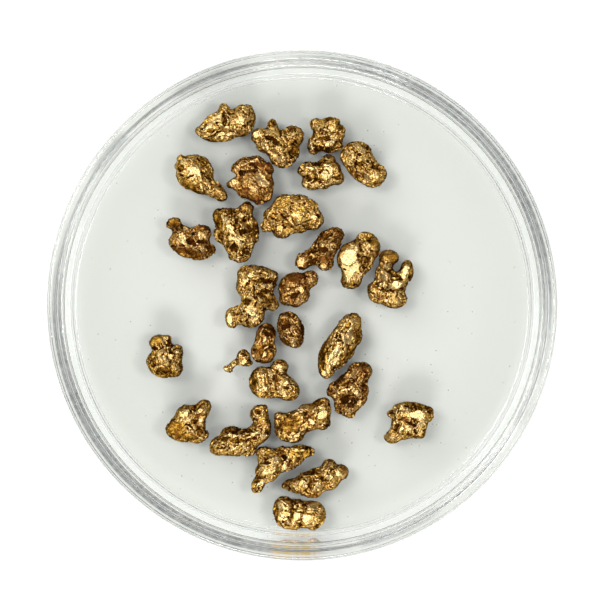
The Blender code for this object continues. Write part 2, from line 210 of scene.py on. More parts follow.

# What only that nugget has: oval marks as seen from above, in the order they are worked.
# worn: a flattened, burnished facet, painted pale as a highlight. ridge: a raised crest with a painted
# highlight. groove: a cut darkened by soil and painted shade. pit: a deep dent darkened by soil and
# painted shade.
# ribs: fine ribs running along the heading. sandy: an even, clean grain. satin: a smooth, flattened flank
# painted
# brown as shade. dark: soil and painted shadow. rust: red stain.
# Each is (kind, x, y, length, width, heading), in millimetres and degrees counterclockwise from +X.
MARKS = {
    "nugget_01_heart": (
        ("groove", -9.4, 22.4, 1.9, 0.5, 100),
        ("groove", -10.8, 21.1, 2.6, 0.4, 8),
        ("worn", -10.3, 22.6, 1.7, 1.2, 60),
        ("worn", -11.3, 21.5, 1.8, 0.6, 45),
        ("ridge", -9.4, 23.6, 1.4, 0.4, -55),
        ("ridge", -11.7, 20.3, 1.2, 0.4, -40),
        ("worn", -9.1, 20.5, 3.2, 0.8, 4),
        ("worn", -7.5, 22.2, 1.0, 1.4, 70),
        ("rust", -7.4, 20.7, 1.2, 0.7, 10),
        ("ridge", -6.3, 21.4, 1.1, 0.35, 75),
    ),
    "nugget_02_antler": (
        ("worn", -5.4, 20.6, 0.9, 0.9, 0),
        ("worn", -3.9, 20.8, 1.5, 0.7, 5),
        ("pit", -3.8, 20.0, 1.5, 0.6, -15),
        ("pit", -3.3, 19.6, 0.6, 0.6, 0),
        ("worn", -4.4, 19.1, 1.6, 0.8, -50),
        ("worn", -3.1, 18.1, 2.4, 1.1, -28),
        ("groove", -2.6, 20.7, 1.4, 0.4, 90),
        ("dark", -0.9, 18.9, 2.6, 1.1, 75),
        ("dark", -1.1, 21.2, 1.3, 0.9, 0),
        ("dark", -3.6, 21.9, 1.0, 0.9, 0),
        ("worn", -1.9, 17.3, 0.8, 0.5, -55),
        ("worn", -0.3, 19.9, 0.8, 0.3, 75),
    ),
    "nugget_03_crest": (
        ("worn", 3.3, 19.7, 1.8, 0.9, 8),
        ("ridge", 1.2, 19.2, 1.5, 0.5, 100),
        ("worn", 1.7, 21.5, 0.7, 0.6, 0),
        ("worn", 3.5, 21.2, 1.0, 0.4, -25),
        ("groove", 2.4, 20.1, 1.8, 0.35, 15),
        ("pit", 3.2, 18.7, 1.5, 0.5, -5),
        ("pit", 1.9, 19.0, 0.9, 0.7, 0),
        ("dark", 4.5, 21.6, 1.6, 1.0, -60),
        ("dark", 3.2, 22.4, 1.4, 0.7, 20),
        ("dark", 2.3, 18.7, 1.6, 0.9, 0),
        ("rust", 4.5, 20.6, 1.0, 0.8, 0),
    ),
    "nugget_04_club": (
        ("satin", -13.6, 14.6, 3.4, 1.0, -38),
        ("worn", -13.0, 16.0, 2.0, 1.6, -40),
        ("pit", -13.2, 15.6, 0.35, 0.3, 0),
        ("ridge", -13.7, 17.5, 1.8, 0.4, -8),
        ("worn", -14.3, 17.2, 0.8, 0.5, 0),
        ("dark", -12.0, 17.4, 1.9, 0.9, -30),
        ("pit", -12.4, 17.6, 0.8, 0.4, -20),
        ("pit", -14.5, 16.4, 0.9, 0.8, 0),
        ("groove", -11.6, 15.6, 1.9, 0.5, -45),
        ("worn", -10.3, 14.9, 1.1, 0.4, -60),
        ("worn", -11.4, 14.6, 0.6, 0.4, -30),
        ("dark", -10.8, 14.1, 0.8, 0.7, 0),
        ("rust", -10.3, 13.4, 1.2, 0.8, -50),
    ),
    "nugget_05_capped": (
        ("groove", -6.5, 16.1, 2.8, 0.45, 5),
        ("ridge", -5.9, 17.5, 2.6, 0.5, 22),
        ("pit", -5.3, 17.0, 2.0, 0.6, -5),
        ("pit", -3.8, 16.1, 1.2, 0.7, -25),
        ("rust", -4.7, 16.8, 3.0, 1.1, -20),
        ("worn", -7.8, 16.5, 1.0, 0.6, -50),
        ("ribs", -5.0, 14.9, 3.0, 2.4, -50),
        ("worn", -4.9, 15.1, 2.4, 1.1, -55),
        ("worn", -5.9, 14.0, 1.6, 0.5, -25),
        ("worn", -8.1, 14.8, 0.9, 0.8, 0),
        ("rust", -6.8, 13.6, 2.4, 1.2, -38),
        ("rust", -7.4, 15.0, 0.9, 1.0, 0),
        ("rust", -5.5, 12.8, 1.3, 0.8, 0),
    ),
    "nugget_06_wedge": (
        ("groove", 2.0, 17.2, 2.4, 0.4, 5),
        ("ridge", 1.0, 16.6, 1.5, 0.4, 0),
        ("ridge", 1.9, 15.9, 1.8, 0.35, -65),
        ("groove", 1.5, 15.8, 1.5, 0.3, -65),
        ("worn", 3.1, 16.1, 1.8, 1.5, 60),
        ("ridge", 3.0, 16.8, 1.7, 0.35, 5),
        ("groove", 3.0, 16.1, 0.9, 0.25, -60),
        ("pit", 0.5, 15.5, 0.9, 0.6, -30),
        ("pit", 0.9, 15.1, 0.6, 0.4, 0),
        ("ridge", 3.9, 14.9, 1.7, 0.5, 18),
        ("worn", 0.8, 14.5, 1.3, 0.7, -10),
        ("worn", 2.4, 14.4, 1.0, 0.4, 15),
        ("worn", 3.2, 17.8, 1.0, 0.6, 0),
        ("pit", 4.3, 15.5, 0.9, 0.5, 0),
        ("dark", 1.3, 17.5, 1.8, 0.5, 10),
    ),
    "nugget_07_saddle": (
        ("worn", 7.3, 18.6, 1.0, 0.7, -40),
        ("worn", 4.9, 18.1, 1.5, 0.7, 60),
        ("worn", 6.0, 17.8, 0.8, 0.8, 0),
        ("pit", 7.1, 17.1, 1.5, 0.6, 5),
        ("pit", 6.4, 17.0, 0.5, 0.4, 0),
        ("pit", 6.9, 18.1, 0.5, 0.4, 0),
        ("pit", 8.8, 16.6, 1.3, 0.5, 0),
        ("satin", 8.3, 18.7, 2.0, 0.8, -52),
        ("rust", 9.2, 16.4, 1.4, 0.8, -20),
        ("worn", 7.8, 15.3, 1.5, 1.0, 80),
        ("worn", 8.9, 15.6, 0.8, 0.7, 0),
        ("rust", 9.0, 14.8, 1.3, 0.6, 10),
        ("rust", 6.1, 15.7, 1.5, 0.8, -40),
        ("worn", 9.1, 17.5, 1.2, 0.35, -50),
    ),
    "nugget_08_thumb": (
        ("satin", -13.6, 6.3, 4.8, 1.1, -18),
        ("satin", -15.4, 9.9, 1.5, 1.2, 25),
        ("worn", -11.9, 6.6, 1.6, 0.8, -45),
        ("worn", -14.0, 9.2, 1.0, 0.7, -60),
        ("worn", -14.4, 8.0, 1.6, 0.9, -70),
        ("worn", -14.0, 7.3, 1.0, 0.4, -30),
        ("pit", -13.5, 7.8, 0.9, 0.8, 0),
        ("pit", -12.0, 7.7, 1.6, 0.45, -5),
        ("pit", -14.6, 9.6, 0.5, 1.0, 0),
        ("pit", -13.2, 8.6, 0.5, 0.4, 0),
        ("worn", -12.1, 8.3, 1.4, 0.7, -20),
        ("rust", -12.4, 9.2, 1.6, 0.7, 10),
        ("rust", -13.7, 8.6, 0.6, 0.6, 0),
        ("dark", -11.1, 6.7, 0.8, 1.1, 0),
    ),
    "nugget_09_hide": (
        ("satin", -10.1, 10.6, 3.8, 1.0, 100),
        ("worn", -9.2, 10.3, 1.6, 1.1, -60),
        ("worn", -8.6, 9.2, 1.7, 0.7, -50),
        ("dark", -8.3, 11.0, 1.4, 0.9, -50),
        ("pit", -7.9, 10.2, 0.6, 0.8, 0),
        ("pit", -7.8, 9.4, 0.9, 0.7, 0),
        ("pit", -7.1, 8.8, 1.1, 0.6, 20),
        ("pit", -6.6, 10.3, 0.9, 0.5, 0),
        ("dark", -5.6, 9.1, 1.9, 0.9, 85),
        ("pit", -8.2, 6.9, 1.3, 1.1, 0),
        ("pit", -6.7, 6.4, 0.8, 0.6, 0),
        ("dark", -9.7, 8.4, 1.4, 0.7, 100),
        ("worn", -8.0, 8.0, 1.6, 0.6, -5),
        ("worn", -7.4, 7.4, 1.4, 0.4, -52),
        ("worn", -6.4, 7.5, 0.9, 0.4, 80),
        ("worn", -6.8, 9.6, 0.9, 0.9, 0),
        ("worn", -7.5, 10.8, 1.0, 0.5, -20),
        ("worn", -5.8, 10.3, 0.6, 0.5, 0),
        ("ridge", -7.7, 5.7, 1.8, 0.45, 5),
        ("rust", -6.8, 11.8, 1.4, 1.0, 60),
    ),
    "nugget_10_loaf": (
        ("sandy", -1.1, 11.0, 8.5, 6.5, 0),
        ("groove", -2.3, 10.6, 1.6, 0.4, -40),
        ("groove", 0.6, 10.2, 1.6, 0.35, 20),
        ("pit", 0.3, 9.6, 0.5, 0.3, 0),
        ("worn", -0.2, 12.6, 1.4, 0.6, 20),
        ("worn", 1.4, 10.6, 1.2, 0.7, 0),
        ("worn", -0.9, 10.8, 1.0, 0.7, 30),
        ("worn", -3.7, 10.0, 0.9, 0.6, 20),
        ("rust", 1.0, 12.4, 1.6, 0.8, -35),
    ),
    "nugget_11_shaded": (
        ("dark", 1.9, 8.2, 2.4, 0.9, 40),
        ("worn", 2.0, 7.2, 1.5, 0.5, 10),
        ("worn", 3.4, 7.2, 0.9, 0.6, -60),
        ("worn", 3.3, 6.2, 0.9, 0.6, 50),
        ("pit", 2.7, 6.8, 0.9, 0.7, 0),
        ("pit", 1.1, 6.4, 0.9, 0.5, 0),
        ("pit", 1.4, 5.3, 0.9, 0.6, 10),
        ("dark", 3.0, 8.3, 1.5, 0.7, 15),
        ("rust", 4.2, 8.6, 1.2, 1.0, 0),
        ("rust", 4.5, 7.2, 1.3, 0.9, 90),
        ("rust", 2.7, 5.6, 1.7, 0.9, 20),
        ("worn", -0.1, 5.1, 1.5, 0.7, 80),
        ("worn", 1.7, 4.8, 1.3, 0.35, -8),
        ("worn", 2.6, 4.6, 0.8, 0.6, 0),
    ),
    "nugget_12_folded": (
        ("worn", 5.9, 5.1, 5.4, 2.6, 78),
        ("worn", 5.7, 5.9, 2.6, 2.2, 75),
        ("pit", 5.15, 4.5, 0.4, 0.3, -20),
        ("groove", 7.0, 6.0, 3.4, 0.45, 93),
        ("ribs", 8.1, 6.6, 3.6, 1.9, 125),
        ("satin", 8.2, 7.8, 2.2, 1.0, -42),
        ("dark", 7.7, 5.1, 1.8, 1.0, 65),
        ("worn", 6.8, 3.4, 1.3, 0.7, 55),
        ("satin", 5.6, 2.7, 1.7, 0.6, -12),
        ("pit", 6.5, 2.4, 0.8, 0.3, -35),
        ("pit", 4.9, 3.2, 0.5, 0.3, -40),
    ),
    "nugget_13_forked": (
        ("satin", 10.6, 5.8, 2.0, 1.0, -8),
        ("worn", 10.4, 4.7, 1.1, 0.7, -15),
        ("groove", 10.3, 4.2, 1.4, 0.3, -5),
        ("worn", 9.7, 3.0, 1.7, 1.3, 80),
        ("worn", 11.2, 2.5, 1.8, 1.2, 35),
        ("groove", 10.4, 2.9, 1.4, 0.3, 105),
        ("worn", 12.4, 3.9, 2.3, 0.8, 72),
        ("pit", 12.0, 4.3, 0.5, 0.3, 70),
        ("pit", 12.1, 2.1, 0.6, 0.6, 0),
        ("groove", 10.6, 1.75, 3.4, 0.4, -3),
        ("ribs", 11.2, 0.9, 2.8, 1.5, 75),
        ("worn", 10.1, 0.6, 1.0, 0.5, 110),
        ("worn", 12.0, 1.0, 1.3, 0.5, -62),
        ("rust", 9.4, 1.0, 1.3, 1.0, -40),
        ("satin", 8.9, 2.2, 1.0, 0.8, 90),
        ("satin", 13.0, 3.2, 2.0, 0.5, 80),
    ),
    "nugget_14_plates": (
        ("ribs", -5.7, 3.9, 3.0, 1.6, 18),
        ("worn", -6.2, 4.5, 1.5, 0.7, -12),
        ("ridge", -6.0, 3.6, 2.6, 0.5, 12),
        ("worn", -6.9, 2.9, 1.6, 0.7, 30),
        ("pit", -4.8, 2.95, 2.6, 0.55, -4),
        ("dark", -3.3, 2.7, 1.6, 0.9, -20),
        ("ridge", -4.5, 2.3, 2.4, 0.7, 14),
        ("ridge", -5.4, 2.2, 1.3, 0.5, -40),
        ("groove", -4.6, 1.55, 2.6, 0.5, 10),
        ("pit", -5.0, 1.2, 1.2, 0.5, 0),
        ("pit", -6.6, 0.4, 1.0, 0.9, 0),
        ("dark", -4.3, 0.6, 2.0, 1.2, 0),
        ("worn", -6.3, 0.9, 0.8, 0.6, -50),
        ("worn", -5.2, 0.6, 0.5, 0.5, 0),
        ("worn", -3.9, 1.2, 0.5, 0.5, 0),
        ("ridge", -7.4, -0.3, 2.4, 0.5, -70),
        ("worn", -6.1, -0.7, 1.8, 1.1, -50),
        ("worn", -5.7, -1.6, 1.5, 0.8, 55),
        ("worn", -6.0, -2.5, 0.8, 0.5, -20),
        ("pit", -6.75, -1.85, 0.4, 0.4, 0),
        ("satin", -6.6, -2.6, 1.2, 0.5, -20),
        ("rust", -8.1, -1.4, 1.0, 1.0, 0),
        ("worn", -8.7, -1.6, 1.2, 0.5, 85),
        ("worn", -7.4, 1.4, 1.2, 0.5, 90),
        ("worn", -4.4, -0.5, 0.6, 0.4, -40),
    ),
    "nugget_15_bud": (
        ("satin", -0.9, 3.4, 2.2, 1.2, 25),
        ("rust", -0.9, 3.3, 2.4, 1.5, 25),
        ("groove", 0.4, 2.9, 2.8, 0.45, 100),
        ("worn", -0.2, 1.9, 1.1, 0.8, 20),
        ("worn", -1.4, 1.4, 0.9, 0.5, 15),
        ("worn", -2.6, 1.4, 0.5, 0.4, 60),
        ("worn", -1.8, 0.4, 0.5, 0.4, 0),
        ("worn", -0.3, 0.4, 0.6, 0.5, 0),
        ("worn", 1.2, 3.5, 1.1, 0.6, -40),
        ("worn", 1.0, 2.4, 0.9, 0.6, 70),
        ("pit", 1.4, 3.3, 0.4, 0.3, 0),
        ("pit", -1.0, 1.0, 1.0, 0.6, -20),
        ("dark", -2.2, 2.2, 1.0, 0.9, 0),
    ),
    "nugget_16_dark": (
        ("dark", -2.0, -4.6, 2.6, 0.7, -30),
        ("ridge", -2.1, -3.9, 2.0, 0.5, -35),
        ("worn", -2.6, -3.4, 0.8, 0.5, -50),
        ("worn", -0.9, -4.4, 1.1, 0.9, -45),
        ("worn", -0.9, -1.8, 1.0, 0.4, -40),
        ("worn", -1.9, -1.3, 0.9, 0.4, -25),
        ("worn", -0.8, -3.3, 0.8, 0.35, -30),
        ("worn", -1.7, -3.4, 0.5, 0.5, 0),
        ("worn", -2.7, -1.6, 0.5, 0.4, 0),
        ("pit", -2.0, -2.8, 1.2, 0.5, 20),
        ("dark", -2.1, -2.2, 1.6, 1.2, 0),
        ("satin", 0.0, -3.0, 2.2, 0.7, 95),
    ),
    "nugget_17_pair": (
        ("dark", -4.0, -2.6, 1.7, 0.8, -10),
        ("ridge", -4.8, -3.2, 1.3, 0.4, 48),
        ("pit", -4.2, -3.4, 1.0, 0.6, -35),
        ("dark", -3.7, -3.4, 1.4, 0.9, 90),
        ("worn", -5.6, -4.6, 1.0, 0.5, 60),
        ("worn", -4.6, -4.2, 0.7, 0.4, 30),
        ("satin", -4.6, -5.6, 2.6, 2.4, 60),
        ("ridge", -4.2, -5.0, 1.3, 0.4, 50),
        ("ridge", -4.5, -6.0, 1.1, 0.5, 40),
        ("worn", -3.5, -5.4, 0.7, 0.5, -60),
        ("worn", -5.8, -6.2, 0.8, 0.4, -35),
        ("pit", -5.4, -6.9, 0.8, 0.5, 0),
    ),
    "nugget_18_bone": (
        ("worn", -7.0, -6.9, 1.4, 0.6, 5),
        ("pit", -6.9, -6.0, 0.6, 0.4, 0),
        ("worn", -6.8, -5.6, 0.6, 0.4, 0),
        ("ridge", -8.4, -7.4, 1.2, 0.3, 38),
        ("worn", -9.1, -7.8, 0.5, 0.5, 0),
        ("dark", -6.3, -6.8, 0.7, 0.7, 0),
    ),
    "nugget_19_shells": (
        ("satin", -5.8, -9.3, 2.8, 0.9, 88),
        ("ribs", -4.5, -9.3, 3.2, 2.4, 103),
        ("worn", -3.8, -8.2, 1.3, 0.6, -60),
        ("worn", -4.6, -10.2, 1.3, 0.9, 0),
        ("worn", -4.7, -8.1, 1.0, 0.6, 60),
        ("groove", -3.1, -9.2, 2.8, 0.5, 88),
        ("rust", -3.0, -8.9, 1.4, 0.6, 90),
        ("worn", -2.8, -7.5, 1.4, 0.6, -50),
        ("pit", -3.0, -8.0, 0.6, 0.4, 0),
        ("dark", -2.3, -7.0, 1.4, 0.7, -30),
        ("worn", -2.2, -9.3, 1.1, 0.7, -10),
        ("groove", -2.0, -8.5, 1.3, 0.35, -30),
        ("ridge", -1.1, -9.2, 1.3, 0.4, -50),
        ("ridge", -1.1, -10.3, 1.6, 0.45, -40),
        ("worn", -2.4, -10.7, 1.3, 0.6, -25),
        ("groove", -1.8, -10.0, 1.4, 0.3, -20),
    ),
    "nugget_20_ridge": (
        ("satin", 2.6, -6.3, 4.0, 0.9, 86),
        ("satin", 6.7, -3.8, 2.4, 0.9, 85),
        ("satin", 5.4, -6.0, 2.6, 0.8, 55),
        ("worn", 4.0, -6.3, 3.2, 1.6, 70),
        ("worn", 5.6, -4.0, 2.6, 1.0, 65),
        ("ridge", 3.9, -3.7, 2.2, 0.5, 70),
        ("ridge", 5.8, -3.0, 1.7, 0.5, 50),
        ("groove", 4.5, -4.2, 1.1, 0.3, -30),
        ("groove", 4.4, -3.6, 1.2, 0.3, -50),
        ("pit", 4.2, -3.9, 0.5, 0.3, 60),
        ("worn", 4.9, -2.2, 1.2, 0.5, 35),
        ("dark", 5.4, -2.6, 1.6, 0.5, 40),
        ("groove", 3.7, -7.5, 1.1, 0.3, -40),
        ("worn", 2.7, -8.2, 0.8, 0.5, 80),
        ("pit", 4.15, -6.3, 0.25, 0.25, 0),
    ),
    "nugget_21_knuckles": (
        ("worn", 6.0, -8.3, 1.8, 0.8, 38),
        ("rust", 7.4, -7.9, 1.4, 1.2, 0),
        ("dark", 7.5, -10.4, 2.2, 0.8, 85),
        ("groove", 5.4, -9.4, 1.4, 0.4, 30),
        ("dark", 4.3, -9.3, 1.8, 0.6, 40),
        ("ridge", 6.3, -10.3, 2.4, 0.7, -62),
        ("worn", 7.0, -11.8, 1.2, 0.6, 58),
        ("worn", 5.3, -10.2, 1.6, 0.4, 15),
        ("worn", 4.0, -10.7, 1.5, 0.5, 70),
        ("pit", 5.2, -11.3, 1.3, 1.3, 0),
        ("pit", 5.9, -12.1, 0.9, 0.6, 30),
        ("worn", 5.8, -11.8, 0.6, 0.3, 30),
        ("worn", 5.8, -12.9, 1.6, 0.6, 20),
        ("dark", 3.4, -10.7, 0.9, 0.9, 0),
        ("dark", 4.4, -12.4, 1.2, 0.6, -50),
    ),
    "nugget_22_acorn": (
        ("satin", -17.5, -4.4, 1.5, 1.1, 0),
        ("worn", -16.75, -4.2, 1.0, 0.5, 95),
        ("dark", -16.1, -4.4, 1.2, 0.6, 80),
        ("pit", -17.8, -5.2, 0.9, 0.4, -10),
        ("groove", -16.0, -4.9, 1.5, 0.4, -15),
        ("satin", -16.6, -8.0, 3.2, 1.5, -15),
        ("dark", -18.0, -6.9, 1.5, 1.0, 80),
        ("worn", -16.8, -5.7, 1.4, 0.4, -20),
        ("worn", -16.9, -6.3, 1.2, 0.6, -20),
        ("worn", -15.9, -6.2, 1.2, 0.4, -60),
        ("ridge", -15.2, -5.6, 1.4, 0.6, -28),
        ("groove", -15.7, -5.7, 1.4, 0.3, -45),
        ("worn", -16.3, -6.8, 1.0, 0.4, -20),
        ("worn", -15.1, -7.5, 0.5, 0.35, 80),
        ("satin", -14.7, -7.0, 2.4, 0.6, 90),
    ),
    "nugget_23_paw": (
        ("satin", -15.2, -14.9, 2.6, 2.2, 30),
        ("satin", -13.8, -15.9, 3.6, 0.8, -8),
        ("worn", -14.2, -12.8, 1.0, 0.6, 0),
        ("worn", -14.2, -13.3, 0.7, 0.7, 0),
        ("worn", -13.9, -13.9, 1.1, 0.5, 20),
        ("worn", -12.9, -12.8, 0.7, 0.6, 0),
        ("satin", -12.4, -12.3, 1.8, 0.6, 35),
        ("worn", -11.6, -12.8, 1.3, 0.5, 72),
        ("worn", -12.2, -13.8, 1.0, 0.45, 55),
        ("rust", -12.7, -13.4, 0.9, 0.9, 0),
        ("pit", -13.0, -14.1, 1.1, 0.6, 0),
        ("pit", -13.7, -14.5, 0.6, 0.4, 0),
        ("pit", -12.3, -15.2, 1.4, 0.9, 85),
        ("ridge", -13.4, -15.1, 1.6, 0.5, -48),
        ("worn", -12.2, -14.5, 0.6, 0.4, 0),
        ("rust", -15.3, -15.6, 1.2, 0.6, 10),
        ("worn", -15.5, -15.9, 0.6, 0.3, -20),
    ),
    "nugget_24_boot": (
        ("dark", -8.3, -15.1, 2.8, 0.7, 5),
        ("pit", -8.0, -15.2, 0.9, 0.4, 0),
        ("worn", -8.2, -14.8, 0.7, 0.4, 30),
        ("ridge", -8.7, -15.8, 3.6, 0.6, 6),
        ("ridge", -6.0, -15.7, 1.9, 0.7, 28),
        ("pit", -6.7, -15.2, 1.3, 0.4, 15),
        ("groove", -8.4, -16.25, 4.6, 0.4, -3),
        ("ribs", -9.6, -17.2, 2.4, 1.7, -38),
        ("ribs", -6.9, -17.2, 2.6, 1.5, 38),
        ("worn", -8.5, -17.3, 1.1, 0.7, 55),
        ("ridge", -6.9, -17.5, 1.7, 0.4, 38),
        ("pit", -5.4, -12.9, 0.7, 0.6, 50),
        ("ridge", -4.8, -13.1, 1.6, 0.5, 62),
        ("worn", -5.6, -13.6, 1.1, 0.5, -45),
        ("rust", -5.0, -14.4, 1.6, 1.0, 0),
        ("worn", -4.6, -15.7, 1.0, 0.6, 80),
        ("dark", -10.3, -15.4, 0.9, 0.6, 40),
    ),
    "nugget_25_slab": (
        ("satin", -1.6, -14.3, 3.4, 2.0, 15),
        ("ridge", 0.0, -12.7, 3.6, 0.6, 24),
        ("worn", 0.4, -12.4, 1.4, 0.8, 0),
        ("dark", 1.5, -11.9, 2.6, 0.8, 12),
        ("worn", 2.4, -12.4, 0.8, 0.5, -20),
        ("worn", 2.5, -13.2, 1.4, 0.8, 30),
        ("rust", 0.9, -13.4, 1.8, 0.7, 10),
        ("ribs", -0.1, -14.2, 2.0, 0.9, 20),
        ("worn", 1.2, -14.1, 0.7, 0.5, 0),
        ("rust", 1.5, -14.9, 1.5, 0.8, 10),
        ("ridge", 2.6, -14.5, 1.1, 0.3, 42),
        ("satin", 3.1, -14.6, 0.9, 0.7, 40),
        ("worn", -0.6, -15.7, 1.0, 0.5, 45),
        ("worn", -1.3, -15.5, 0.7, 0.5, -30),
        ("worn", -1.2, -16.2, 1.4, 0.4, -5),
        ("pit", -1.5, -15.5, 0.6, 0.5, 0),
        ("pit", 0.6, -15.2, 0.6, 0.3, 20),
        ("worn", 0.1, -15.5, 0.5, 0.6, 0),
    ),
    "nugget_26_flag": (
        ("dark", 13.9, -12.2, 3.8, 0.8, -6),
        ("dark", 15.4, -13.0, 1.8, 0.9, 75),
        ("worn", 11.2, -12.6, 0.9, 0.6, -60),
        ("worn", 12.3, -12.6, 1.5, 0.6, -20),
        ("groove", 11.6, -12.6, 1.2, 0.3, 80),
        ("worn", 13.7, -13.3, 2.4, 1.2, -12),
        ("worn", 14.3, -14.4, 1.4, 0.7, 5),
        ("worn", 14.3, -15.4, 1.0, 0.6, 50),
        ("rust", 12.6, -13.7, 1.2, 0.8, -20),
        ("groove", 13.1, -14.3, 1.5, 0.35, -25),
        ("worn", 12.9, -14.8, 1.1, 0.9, 0),
        ("pit", 12.9, -15.6, 0.8, 0.5, 0),
        ("pit", 13.6, -15.2, 0.5, 0.6, 0),
        ("rust", 13.3, -15.7, 1.2, 0.6, -5),
        ("pit", 11.5, -14.8, 1.1, 0.6, 70),
        ("pit", 10.9, -13.1, 0.8, 0.4, -30),
        ("ridge", 11.5, -13.7, 1.6, 0.5, -80),
        ("ridge", 12.1, -14.8, 1.6, 0.4, 75),
        ("ridge", 10.8, -14.9, 1.2, 0.35, 60),
        ("worn", 10.3, -15.8, 0.7, 0.5, 80),
        ("worn", 11.1, -16.2, 1.0, 0.35, 5),
        ("rust", 11.1, -15.7, 1.0, 0.6, -20),
    ),
    "nugget_27_axe": (
        ("worn", -3.3, -18.7, 1.4, 0.9, 40),
        ("worn", -3.8, -19.9, 2.0, 0.9, 20),
        ("worn", -5.0, -17.7, 0.9, 0.6, 0),
        ("worn", -4.8, -19.8, 0.8, 0.6, 0),
        ("worn", -4.3, -21.1, 1.0, 0.6, 30),
        ("worn", -4.9, -21.5, 1.2, 0.5, 25),
        ("dark", -5.5, -21.4, 1.2, 0.8, 60),
        ("pit", -2.1, -18.4, 0.6, 0.7, 0),
        ("dark", -2.6, -17.7, 1.2, 0.7, -20),
        ("satin", -0.3, -17.8, 3.2, 1.6, 5),
        ("ridge", -0.6, -17.5, 2.8, 0.5, -4),
        ("worn", -1.6, -18.3, 0.9, 0.5, -15),
        ("worn", -0.6, -18.3, 0.9, 0.4, -10),
        ("pit", -1.3, -18.9, 0.7, 0.4, -10),
        ("rust", -1.5, -19.3, 0.9, 0.7, 20),
        ("worn", -2.1, -19.5, 1.2, 0.5, 65),
        ("groove", -4.4, -19.0, 1.8, 0.3, 10),
        ("groove", -5.0, -20.8, 1.8, 0.4, 15),
    ),
    "nugget_28_dragon": (
        ("satin", 0.9, -20.4, 2.4, 0.9, 0),
        ("groove", 2.4, -20.8, 2.0, 0.5, -40),
        ("groove", 1.0, -21.7, 1.8, 0.4, -85),
        ("worn", 0.2, -21.5, 1.4, 0.9, -45),
        ("worn", -0.7, -21.5, 1.0, 0.5, 50),
        ("worn", -1.7, -22.2, 1.0, 0.5, -10),
        ("worn", 1.9, -21.7, 1.1, 0.8, 60),
        ("ribs", 1.7, -22.3, 1.3, 0.9, -40),
        ("worn", 1.8, -22.3, 1.2, 0.7, 10),
        ("worn", 2.7, -19.6, 1.0, 0.5, -5),
        ("worn", 3.5, -19.2, 1.2, 0.5, -45),
        ("worn", 4.2, -20.2, 1.1, 0.5, 95),
        ("worn", 3.2, -20.8, 0.9, 0.7, 0),
        ("pit", 3.6, -20.0, 0.5, 0.4, 0),
        ("worn", 4.5, -20.8, 0.6, 0.5, 0),
        ("worn", 3.7, -21.7, 0.6, 0.4, 0),
        ("rust", 5.0, -20.0, 1.0, 1.2, 0),
        ("rust", 1.4, -22.9, 1.6, 0.6, 5),
        ("rust", 3.0, -21.7, 1.2, 0.5, -20),
        ("dark", -2.1, -21.8, 0.6, 0.6, 0),
        ("dark", 1.7, -20.0, 1.2, 0.5, 10),
    ),
    "nugget_29_lobed": (
        ("satin", -3.2, -24.9, 3.4, 0.7, 100),
        ("groove", -1.2, -24.9, 2.4, 0.5, -85),
        ("ridge", -2.1, -23.9, 2.0, 0.25, -43),
        ("worn", -2.3, -25.6, 1.6, 0.9, -50),
        ("ridge", -1.4, -26.4, 1.6, 0.45, -15),
        ("worn", -2.5, -24.3, 0.9, 0.8, 0),
        ("satin", -1.3, -23.6, 1.6, 0.6, 0),
        ("worn", 1.5, -24.3, 1.6, 0.9, -10),
        ("worn", 2.5, -24.8, 1.0, 0.4, -20),
        ("groove", 0.6, -25.1, 3.0, 0.4, -6),
        ("worn", -0.6, -25.4, 1.0, 0.7, -45),
        ("worn", 0.5, -25.7, 1.4, 0.7, 20),
        ("worn", 0.3, -26.4, 1.4, 0.7, 10),
        ("worn", 1.5, -26.1, 0.9, 0.5, 30),
        ("worn", -0.9, -26.1, 1.0, 0.4, 80),
        ("dark", 1.7, -26.9, 0.8, 0.6, 0),
        ("satin", 2.3, -25.6, 1.2, 0.6, 60),
        ("worn", 0.7, -24.2, 0.7, 0.4, -40),
    ),
}


def link(obj):
    bpy.context.scene.collection.objects.link(obj)
    return obj


# ---------------------------------------------------------------- materials


class Nodes:
    """A short way to write a node tree: each call adds a node and returns one of its outputs."""

    def __init__(self, tree):
        self.tree = tree
        tree.nodes.clear()

    def add(self, kind, out=0, sockets=(), **settings):
        made = self.tree.nodes.new(kind)
        for key, value in settings.items():
            setattr(made, key, value)
        for key, value in dict(sockets).items():
            if isinstance(value, bpy.types.NodeSocket):
                self.tree.links.new(value, made.inputs[key])
            else:
                made.inputs[key].default_value = value
        return made.outputs[out]

    def math(self, operation, a, b=0.0, clamp=False):
        return self.add("ShaderNodeMath", sockets={0: a, 1: b}, operation=operation, use_clamp=clamp)

    def mix(self, factor, a, b):
        return self.add("ShaderNodeMix", out=2, data_type="RGBA", sockets={0: factor, 6: a, 7: b})

    def toward(self, direction, heading):
        """The cosine between a direction in the table's plane and a heading in degrees."""
        way = (math.cos(math.radians(heading)), math.sin(math.radians(heading)), 0.0)
        sockets = {0: direction, 1: way}
        return self.add("ShaderNodeVectorMath", out="Value", sockets=sockets, operation="DOT_PRODUCT")

    def fit(self, value, low, high, to_low=0.0, to_high=1.0):
        return self.add(
            "ShaderNodeMapRange",
            sockets={0: value, 1: low, 2: high, 3: to_low, 4: to_high},
            interpolation_type="SMOOTHSTEP",
        )


